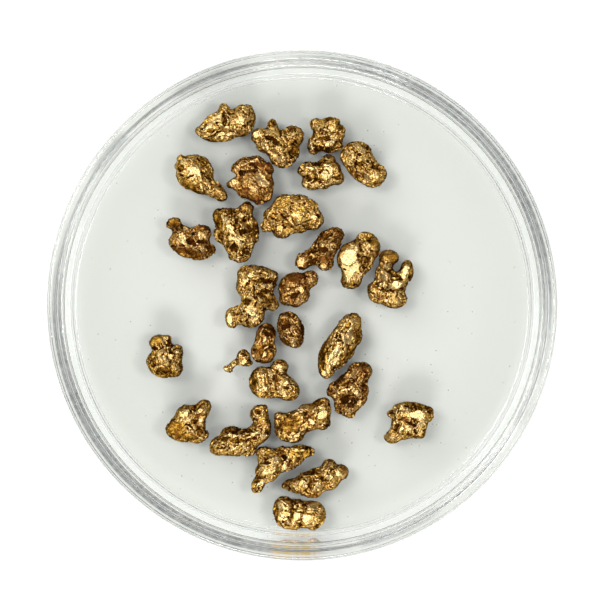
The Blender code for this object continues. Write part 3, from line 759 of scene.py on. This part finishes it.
def gold_material(name, clean, pale, brown):
    """Native gold: pale where it is burnished and where highlights are painted, brown to black where soil
    has stayed and where shade is painted, red with rust.
    """
    material = bpy.data.materials.new(name)
    material.use_nodes = True
    n = Nodes(material.node_tree)
    place = n.add("ShaderNodeTexCoord", out="Object")
    stains_and_painted_light = n.add("ShaderNodeAttribute", out="Color", attribute_name="stains_and_painted_light")
    masks = n.add("ShaderNodeSeparateColor", out="Red", sockets={0: stains_and_painted_light}).node
    soil_and_shade, burnish_and_highlight, rust = masks.outputs["Red"], masks.outputs["Green"], masks.outputs["Blue"]
    mottle = n.add("ShaderNodeTexNoise", sockets={"Vector": place, "Scale": 1500.0, "Detail": 3.0})
    fine = n.add("ShaderNodeTexNoise", sockets={"Vector": place, "Scale": 7000.0, "Detail": 4.0})
    # Soil and painted shade, roughened by fine random tone, turn the gold brown and then black.
    dirt_and_shade = n.math("ADD", soil_and_shade, n.fit(mottle, 0.35, 0.7, -0.14, 0.2))
    dirt_and_shade = n.math("ADD", dirt_and_shade, n.fit(fine, 0.35, 0.65, -0.16, 0.2), clamp=True)
    # Burnish and painted highlight turn the metal pale.
    metal = n.mix(n.math("MULTIPLY", burnish_and_highlight, 0.85), clean, pale)
    metal = n.mix(n.math("MULTIPLY", n.fit(mottle, 0.4, 0.75), 0.35), metal, pale)
    earth_and_shade = n.mix(n.fit(dirt_and_shade, 0.55, 1.0), brown, BLACK_EARTH_AND_SHADE)
    colour = n.mix(n.fit(dirt_and_shade, 0.12, 0.72), metal, earth_and_shade)
    rusty = n.math("MULTIPLY", rust, n.fit(mottle, 0.3, 0.65, 0.35, 1.0))
    reddened = n.mix(rusty, colour, RUST_RED)
    polished = n.math("MULTIPLY", burnish_and_highlight, 0.12)
    rough = n.math("SUBTRACT", n.fit(dirt_and_shade, 0.0, 0.9, 0.38, 0.6), polished, clamp=True)
    metallic = n.math("SUBTRACT", 1.0, n.math("MULTIPLY", rust, 0.2), clamp=True)
    bump = n.add(
        "ShaderNodeBump",
        sockets={"Strength": 1.0, "Distance": 0.044 * MM, "Height": fine},
    )
    shader = n.add(
        "ShaderNodeBsdfPrincipled",
        sockets={
            "Base Color": reddened,
            "Metallic": metallic,
            "Roughness": rough,
            "Specular Tint": WARM_GLOSS,
            "Normal": bump,
        },
    )
    finish_tree(n, shader)
    return material


def finish_tree(n, shader):
    output = n.tree.nodes.new("ShaderNodeOutputMaterial")
    n.tree.links.new(shader, output.inputs["Surface"])


def glass_material():
    """Clear glass, faintly green and a little dusty, with painted shade in streaks at its heel and a
    painted reflection of gold low on one side of its wall. Light passes through it to what lies under it.
    """
    material = bpy.data.materials.new("clear glass")
    material.use_nodes = True
    n = Nodes(material.node_tree)
    place = n.add("ShaderNodeTexCoord", out="Object")
    height = n.add("ShaderNodeSeparateXYZ", out="Z", sockets={0: place})
    haze = n.add("ShaderNodeTexNoise", sockets={"Vector": place, "Scale": 160.0, "Detail": 5.0})
    below_rim = n.fit(height, 13.0 * MM, 14.4 * MM, 1.0, 0.0)
    wall = n.math("MULTIPLY", n.fit(height, 3.0 * MM, 5.0 * MM), below_rim)
    specks = n.add("ShaderNodeTexVoronoi", sockets={"Vector": place, "Scale": 700.0, "Randomness": 1.0})
    dust = n.math("MULTIPLY", n.fit(specks, 0.03, 0.09, 1.0, 0.0), n.fit(haze, 0.45, 0.6))
    apart = n.add("ShaderNodeSeparateXYZ", sockets={0: place}).node
    flat = n.add("ShaderNodeCombineXYZ", sockets={0: apart.outputs["X"], 1: apart.outputs["Y"]})
    radius = n.add("ShaderNodeVectorMath", out="Value", sockets={0: flat}, operation="LENGTH")
    heading = n.add("ShaderNodeVectorMath", sockets={0: flat}, operation="NORMALIZE")
    broad = n.add("ShaderNodeTexNoise", sockets={"Vector": heading, "Scale": 2.6, "Detail": 1.0})
    streaks = n.add("ShaderNodeTexNoise", sockets={"Vector": heading, "Scale": 42.0, "Detail": 7.0})
    # Painted shade: a grey tint in streaks at the heel, strongest towards two opposite headings and in
    # broad patches, darkens what is seen down through the rim.
    lowest = n.fit(height, 0.5 * MM, 1.3 * MM, 1.0, 0.0)
    heel = n.math("MULTIPLY", lowest, n.fit(radius, 28.3 * MM, 28.9 * MM))
    shaded_side = n.math("ABSOLUTE", n.toward(heading, SHADED_HEADING))
    patchy = n.math("MAXIMUM", n.fit(shaded_side, 0.4, 0.85), n.fit(broad, 0.5, 0.62, 0.0, 0.6))
    heel_shade = n.math("MULTIPLY", n.math("MULTIPLY", heel, patchy), n.fit(streaks, 0.3, 0.7, 0.8, 1.0))
    tint = n.mix(heel_shade, CLEAR_GLASS, HEEL_SHADE_GREY)
    # Painted reflection: a gold tint in streaks low in the wall, at one heading only, stands for a
    # nugget's reflection seen down through the rim.
    foot = n.fit(height, 4.0 * MM, 6.0 * MM, 1.0, 0.0)
    foot = n.math("MULTIPLY", foot, n.fit(radius, 28.4 * MM, 28.9 * MM))
    gold_reflection = n.fit(n.toward(heading, REFLECTION_HEADING), 0.993, 0.998)
    gold_reflection = n.math("MULTIPLY", gold_reflection, n.fit(streaks, 0.37, 0.5))
    tint = n.mix(n.math("MULTIPLY", gold_reflection, foot), tint, REFLECTED_GOLD)
    dull = n.math("MULTIPLY", wall, 0.03)
    glass = n.add(
        "ShaderNodeBsdfPrincipled",
        sockets={
            "Base Color": tint,
            "Roughness": n.math("ADD", n.fit(haze, 0.4, 0.75, 0.0, 0.03), dull),
            "IOR": 1.5,
            "Transmission Weight": 1.0,
        },
    )
    grey = n.add("ShaderNodeBsdfDiffuse", sockets={"Color": DUST_GREY})
    dusted = n.add("ShaderNodeMixShader", sockets={0: n.math("MULTIPLY", dust, 0.55), 1: glass, 2: grey})
    shade = n.mix(n.fit(height, 2.6 * MM, 3.6 * MM), FLOOR_SHADE, WALL_SHADE)
    path = n.add("ShaderNodeLightPath").node
    passing = n.math("MAXIMUM", path.outputs["Is Shadow Ray"], path.outputs["Is Diffuse Ray"])
    through = n.add("ShaderNodeBsdfTransparent", sockets={"Color": shade})
    finish_tree(n, n.add("ShaderNodeMixShader", sockets={0: passing, 1: dusted, 2: through}))
    return material


def table_material():
    material = bpy.data.materials.new("white table")
    material.use_nodes = True
    n = Nodes(material.node_tree)
    finish_tree(n, n.add("ShaderNodeBsdfDiffuse", sockets={"Color": TABLE_WHITE}))
    return material


# ---------------------------------------------------------------- the dish


def arc(centre_r, centre_z, radius, start, end):
    """Points (r, z) on a quarter round between two angles in degrees, both ends included."""
    angles = [math.radians(start + (end - start) * i / ARC_STEPS) for i in range(ARC_STEPS + 1)]
    return [(centre_r + radius * math.cos(a), centre_z + radius * math.sin(a)) for a in angles]


def dish_profile():
    """Half of the dish's section as (r, z), from under the floor, round the wall, to the floor's top."""
    corner_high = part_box("dish")[1]
    outer, height = corner_high[0] / MM, corner_high[2] / MM
    inner = outer - WALL
    heel = outer - OUTER_DRAFT
    corner = inner - INNER_DRAFT
    return [
        (FOOT_INNER_RADIUS - FOOT_SLOPE, FOOT_HEIGHT),
        (FOOT_INNER_RADIUS, 0.0),
        (FOOT_OUTER_RADIUS, 0.0),
        *arc(heel - HEEL_ROUNDING, HEEL_ROUNDING, HEEL_ROUNDING, -70, 0),
        *arc(outer - RIM_ROUNDING, height - RIM_ROUNDING, RIM_ROUNDING, 0, 90),
        *arc(inner + RIM_ROUNDING, height - RIM_ROUNDING, RIM_ROUNDING, 90, 180),
        *arc(corner - CORNER_FILLET, FLOOR_TOP + CORNER_FILLET, CORNER_FILLET, 0, -90),
        (1.0, FLOOR_TOP),
    ]


def braced(profile):
    """The same outline with a point near each end of its long stretches, which keeps them flat."""
    points = []
    for (r0, z0), (r1, z1) in zip(profile, profile[1:]):
        length = math.hypot(r1 - r0, z1 - z0)
        steps = (0, BRACE / length, 1 - BRACE / length) if length > 10 * BRACE else (0,)
        points += [(r0 + (r1 - r0) * step, z0 + (z1 - z0) * step) for step in steps]
    return points + [profile[-1]]


def make_dish(glass):
    bm = bmesh.new()
    rings = []
    turns = [2 * math.pi * i / DISH_SEGMENTS for i in range(DISH_SEGMENTS)]
    # Moulded glass is never quite round: the wall wavers inwards by a hair.
    ways = [(math.cos(t), math.sin(t)) for t in turns]
    waver = [RIPPLE_DEPTH * (0.5 + 0.5 * noise.noise((RIPPLES * x, RIPPLES * y, 0))) for x, y in ways]
    for radius, z in braced(dish_profile()):
        spots = [((radius - w) * x * MM, (radius - w) * y * MM, z * MM) for w, (x, y) in zip(waver, ways)]
        rings.append([bm.verts.new(spot) for spot in spots])
    low = bm.verts.new((0, 0, FOOT_HEIGHT * MM))
    high = bm.verts.new((0, 0, FLOOR_TOP * MM))
    for i in range(DISH_SEGMENTS):
        j = (i + 1) % DISH_SEGMENTS
        bm.faces.new((low, rings[0][j], rings[0][i]))
        for lower, upper in zip(rings, rings[1:]):
            bm.faces.new((lower[i], lower[j], upper[j], upper[i]))
        bm.faces.new((rings[-1][i], rings[-1][j], high))
    mesh = bpy.data.meshes.new("dish_glass")
    bm.to_mesh(mesh)
    bm.free()
    mesh.shade_smooth()
    mesh.set_sharp_from_angle(angle=math.radians(30))
    mesh.materials.append(glass)
    dish = link(bpy.data.objects.new("dish_glass", mesh))
    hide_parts("dish")
    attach(dish, "dish")


# ---------------------------------------------------------------- the nuggets


def fine_skin(node):
    """A closed, even, fine copy of a CAD node's skin in millimetres: points and four-cornered faces."""
    mesh = node.data.copy()
    bm = bmesh.new()
    bm.from_mesh(mesh)
    bmesh.ops.remove_doubles(bm, verts=bm.verts, dist=0.001 * MM)
    bmesh.ops.scale(bm, vec=(1 / MM,) * 3, verts=bm.verts)
    bm.to_mesh(mesh)
    bm.free()
    rough = link(bpy.data.objects.new("rough", mesh))
    rounded = rough.modifiers.new("rounded", "SUBSURF")
    rounded.levels = 2
    # Rounding pulls the corners in, so they are first moved out by as much.
    corners = points_of(mesh)
    pulled = points_of(evaluated(rough))[: len(corners)]
    mesh.vertices.foreach_set("co", (2 * corners - pulled).ravel())
    mesh.update()
    even = rough.modifiers.new("even", "REMESH")
    even.mode = "VOXEL"
    even.voxel_size = SKIN_GRAIN
    skin = evaluated(rough)
    bpy.data.objects.remove(rough)
    faces = np.empty(len(skin.loops), dtype=int)
    skin.loops.foreach_get("vertex_index", faces)
    return points_of(skin), faces.reshape(-1, 4)


def evaluated(obj):
    """The object's mesh with its modifiers applied."""
    return bpy.data.meshes.new_from_object(obj.evaluated_get(bpy.context.evaluated_depsgraph_get()))


def points_of(mesh):
    points = np.empty(len(mesh.vertices) * 3)
    mesh.vertices.foreach_get("co", points)
    return points.reshape(-1, 3)


def gathered(index, values, count):
    """Sums of the rows of values that share an index."""
    return np.stack([np.bincount(index, values[:, k], count) for k in range(values.shape[1])], axis=1)


def normals_of(points, faces):
    corners = [points[faces[:, k]] for k in range(4)]
    across = np.cross(corners[2] - corners[0], corners[3] - corners[1])
    total = gathered(faces.ravel(), np.repeat(across, 4, axis=0), len(points))
    return total / np.maximum(np.linalg.norm(total, axis=1, keepdims=True), 1e-12)


def averaged(values, faces, steps):
    """Values (rows per point) averaged over each point's faces, again and again."""
    flat = faces.ravel()
    uses = np.bincount(flat, minlength=len(values))[:, None]
    for _ in range(steps):
        middle = values[faces].mean(axis=1)
        values = gathered(flat, np.repeat(middle, 4, axis=0), len(values)) / uses
    return values


def clouds(points, size, seed):
    """Soft noise from -1 to 1 with features about size millimetres across."""
    return np.array([noise.noise(p) for p in (points / size + seed).tolist()])


def fine_lines(values):
    """1 along the lines where the values cross nought, falling off fast on both sides."""
    return np.exp(-((values / CREASE_WIDTH) ** 2))


def pebbles(points, size, seed):
    """Packed grains: 1 on a grain's crown, 0 in the crease between two grains."""
    gaps = []
    for p in (points / size + seed).tolist():
        near = noise.voronoi(p)[0]
        gaps.append(near[1] - near[0])
    return np.clip(np.array(gaps) * 2.2, 0, 1)


def flatten(points, along, across, weight):
    """Presses the skin towards the plane that fits it best where weight is high."""
    plan = np.stack([np.ones(len(points)), along, across], axis=1)
    slope = np.linalg.lstsq(plan * weight[:, None], points[:, 2] * weight, rcond=None)[0]
    push = FACET_PRESS * weight * (plan @ slope - points[:, 2])
    points[:, 2] += np.clip(push, -FACET_LIMIT, FACET_LIMIT)


def press_marks(points, faces, ragged, marks):
    """Works a nugget's marks into its upper skin. Gives how much relief stays and the stains and painted
    light added.
    """
    open_skin = np.clip(4 * (normals_of(points, faces)[:, 2] - 0.1), 0, 1)
    kept = np.ones(len(points))
    stains_and_light = np.zeros((3, len(points)))
    for kind, x, y, length, width, heading in marks:
        lift, keep, *stain_and_light = KINDS[kind]
        turn = math.radians(heading)
        east, north = ragged[:, 0] - x, ragged[:, 1] - y
        along = east * math.cos(turn) + north * math.sin(turn)
        across = north * math.cos(turn) - east * math.sin(turn)
        inside = 1 - (2 * along / length) ** 2 - (2 * across / width) ** 2
        weight = np.clip(1.6 * inside, 0, 1) * open_skin
        if kind in ("worn", "satin"):
            flatten(points, along, across, weight)
        if kind == "ribs":
            points[:, 2] += RIB_HEIGHT * weight * np.sin(2 * math.pi * across / RIB_SPACING)
        points[:, 2] += lift * weight
        kept *= 1 - (1 - keep) * weight
        stains_and_light += np.outer(stain_and_light, weight)
    return kept, stains_and_light


def plates(points, size, seed):
    """Flat broken plates: how far each point stands out for a slope of 1, and its plate's tone."""
    found = []
    for p in (points / size + seed).tolist():
        centre = noise.voronoi(p)[1][0]
        lean = noise.cell_vector(centre * 57)
        found.append((2 * (Vector(p) - centre).dot(lean - HALF), lean.x))
    stand, tone = np.array(found).T
    return size * stand, tone


def long_axis(points):
    """The direction in which a nugget is longest."""
    return np.linalg.eigh(np.cov(points.T))[1][:, -1]


def fill_hollows(points, faces):
    """Moves the skin outwards in the valleys between lumps, less on the sides."""
    for _ in range(FILL_ROUNDS):
        normal = normals_of(points, faces)
        valley = np.einsum("ij,ij->i", averaged(points, faces, FILL_REACH) - points, normal)
        limit = FILL_LIMIT + 0.2 * np.clip(normal[:, 2], 0, 1)
        points = points + normal * np.clip(2 * valley, 0, limit)[:, None]
    return points


def make_nugget(name, golds, number):
    grain_depth, grain_size, polish, soiled, rusted = CHARACTER[name]
    points, faces = fine_skin(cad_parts[name])
    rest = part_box(name)[0][2] / MM
    points = fill_hollows(points, faces)
    seed = number * 7.31
    room = CROWDED_ROOM if name in CROWDED else EDGE_ROOM
    base = points.copy()
    normal = normals_of(points, faces)
    up = np.clip(normal[:, 2], 0, 1)

    lumps = clouds(base, LUMP_SIZE, seed)
    folds = np.abs(clouds(base + 0.3 * lumps[:, None], FOLD_SIZE, seed + 3))
    stand, tone = plates(base + 0.15 * lumps[:, None], PLATE_SIZE, seed + 20)
    chips, chip_tone = plates(base + 0.1 * folds[:, None], CHIP_SIZE, seed + 30)
    height = FULLNESS + LUMP_HEIGHT * lumps + FOLD_DEPTH * (2 * folds - 0.4)
    height = height + PLATE_SLOPE * stand + CHIP_SLOPE * chips
    points += normal * np.minimum(height, room + 0.25 * up)[:, None]
    warp = base + 0.22 * np.stack([clouds(base, 0.6, seed + k) for k in (5, 6, 7)], axis=1)
    drawn = warp - CREASE_STRETCH * np.outer(warp @ long_axis(base), long_axis(base))
    kept, stains_and_light = press_marks(points, faces, warp, MARKS[name])

    normal = normals_of(points, faces)
    creases = fine_lines(clouds(drawn, CREASE_SIZE, seed + 8))
    grain = pebbles(warp, grain_size, seed + 9)
    tiny = fine_lines(clouds(drawn, TINY_SIZE, seed + 11))
    worn = np.clip((height + 0.02) * 5, 0, 1) * polish
    relief = 0.03 - CREASE_DEPTH * creases - TINY_DEPTH * tiny + grain_depth * (1.6 * grain - 1)
    points += normal * np.minimum((1 - 0.4 * worn) * kept * relief, room + 0.2 * up)[:, None]

    points[:, 2] = np.maximum(points[:, 2], rest)
    normal = normals_of(points, faces)
    crease = np.einsum("ij,ij->i", averaged(points, faces, 3) - points, normal)
    hollow = np.einsum("ij,ij->i", averaged(points, faces, 30) - points, normal)
    low = np.clip(1 - (points[:, 2] - rest) / 1.2, 0, 1)
    steep = np.clip(1 - np.clip(normals_of(averaged(points, faces, 6), faces)[:, 2], 0, 1) / 0.6, 0, 1)
    # Soil and painted shade in creases and hollows; painted shade on the lowest 1.2 mm and on steep
    # sides; then the nugget's own soil, its clouds and the tone of its plates and chips.
    soil_and_shade = CREASE_SOIL_AND_SHADE * np.clip(crease, 0, None) + HOLLOW_SOIL_AND_SHADE * np.clip(hollow, 0, None)
    soil_and_shade += LOW_SHADE * low + STEEP_SHADE * steep
    soil_and_shade += (OWN_SOIL + CLOUDY_SOIL * clouds(base, 1.0, seed + 15)) * soiled
    soil_and_shade += PLATE_SOIL * (tone - 0.5) + CHIP_SOIL * (chip_tone - 0.5) + stains_and_light[0]
    # Burnish and painted highlight: pale on crowns, on polished nuggets and under worn and ridge marks,
    # and only on faces turned upwards.
    burnish_and_highlight = (np.clip(-20 * crease - 1.5 * hollow + polish * 0.3, 0, 1) + stains_and_light[1]) * up
    rust = rusted * np.clip(0.5 + clouds(base, 1.2, seed + 17), 0, 1) + stains_and_light[2]
    finish_nugget(name, points, faces, (soil_and_shade, burnish_and_highlight, rust), golds[name in STAINED])


def finish_nugget(name, points, faces, masks, gold):
    mesh = bpy.data.meshes.new(name + "_gold")
    mesh.from_pydata((points * MM).tolist(), [], faces.tolist())
    stains_and_painted_light = mesh.attributes.new("stains_and_painted_light", "FLOAT_COLOR", "POINT")
    colours = np.ones((len(points), 4))
    for k, mask in enumerate(masks):
        colours[:, k] = np.clip(mask, 0, 1)
    stains_and_painted_light.data.foreach_set("color", colours.ravel())
    mesh.shade_smooth()
    mesh.materials.append(gold[0])
    nugget = link(bpy.data.objects.new(name + "_gold", mesh))
    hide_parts(name)
    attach(nugget, name)


# ---------------------------------------------------------------- table, light and camera


def make_table(material):
    mesh = bpy.data.meshes.new("table")
    corners = [(x * TABLE_HALF, y * TABLE_HALF, 0) for x, y in ((-1, -1), (1, -1), (1, 1), (-1, 1))]
    mesh.from_pydata(corners, [], [(0, 1, 2, 3)])
    mesh.materials.append(material)
    link(bpy.data.objects.new("table", mesh))


def area_light(name, place, size, power):
    light = bpy.data.lights.new(name, "AREA")
    light.shape = "RECTANGLE"
    light.size, light.size_y = size
    light.energy = power
    lamp = link(bpy.data.objects.new(name, light))
    lamp.location = place
    lamp.rotation_mode = "QUATERNION"
    lamp.rotation_quaternion = (-lamp.location).to_track_quat("-Z", "Y")
    lamp.visible_camera = False


def make_light():
    for lamp in LAMPS:
        area_light(*lamp)
    world = bpy.data.worlds.new("room")
    bpy.context.scene.world = world
    world.use_nodes = True
    n = Nodes(world.node_tree)
    way = n.add("ShaderNodeTexCoord", out="Generated")
    rise = n.add("ShaderNodeSeparateXYZ", out="Z", sockets={0: way})
    patches = n.add("ShaderNodeTexNoise", sockets={"Vector": way, "Scale": 2.2, "Detail": 2.0})
    walls = n.mix(n.fit(patches, 0.5, 0.6), ROOM_DARK, ROOM_LIGHT)
    room = n.mix(n.fit(rise, 0.25, 0.9), walls, CEILING)
    seen = n.add("ShaderNodeLightPath", out="Is Camera Ray")
    sky = n.add("ShaderNodeBackground", sockets={0: n.mix(seen, room, BACKDROP), 1: 1.0})
    output = n.tree.nodes.new("ShaderNodeOutputWorld")
    n.tree.links.new(sky, output.inputs["Surface"])


def make_camera():
    """Straight above the dish, looking down, the top of the picture towards +Y."""
    data = bpy.data.cameras.new("camera")
    data.lens = CAMERA_LENS
    data.sensor_width = 36.0
    data.clip_start, data.clip_end = 0.01, 10.0
    camera = link(bpy.data.objects.new("camera", data))
    camera.location = CAMERA_PLACE
    bpy.context.scene.camera = camera


def main():
    bpy.context.scene.view_settings.view_transform = "Standard"
    make_camera()
    make_light()
    make_table(table_material())
    make_dish(glass_material())
    clean = gold_material("native gold", *NATIVE_GOLD)
    stained = gold_material("stained gold", *STAINED_GOLD)
    golds = {False: (clean, "native_gold"), True: (stained, "stained_gold")}
    for number, name in enumerate(CHARACTER):
        make_nugget(name, golds, number)


main()
